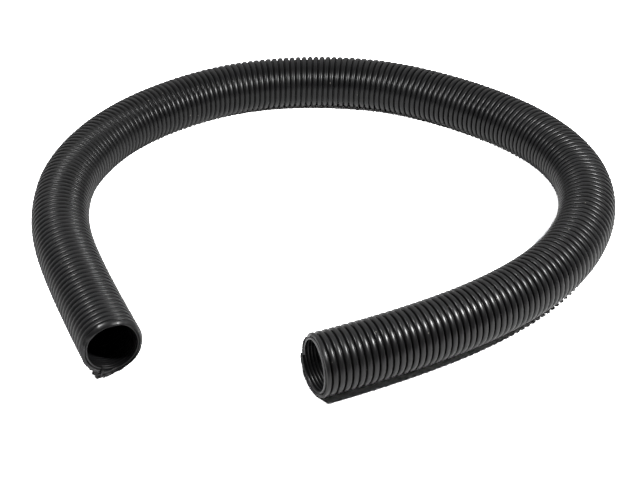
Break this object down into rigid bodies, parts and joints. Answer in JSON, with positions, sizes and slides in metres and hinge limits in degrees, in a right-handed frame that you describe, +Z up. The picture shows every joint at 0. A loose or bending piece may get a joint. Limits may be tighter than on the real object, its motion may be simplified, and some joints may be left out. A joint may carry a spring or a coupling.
{
  "type": "vacuum hose",
  "caption": "Black corrugated pool vacuum hose with a smooth bore and plain cut ends, lying on the floor in one open loop.",
  "frame": {"origin": "middle of the loop's outline, on the floor that the hose lies on", "axes": "+Z up, +X to the right across the loop's widest side, -Y towards the side where both ends of the hose lie"},
  "size_m": [0.4852, 0.4609, 0.0459],
  "materials": {
    "liner_plastic": "black, smooth, slightly duller than the outside",
    "wall_plastic": "satin black extruded plastic with a soft sheen along each rib"
  },
  "bodies": {
    "root": {"inner_liner": "liner_plastic", "ribbed_wall": "wall_plastic"}
  },
  "joints": []
}
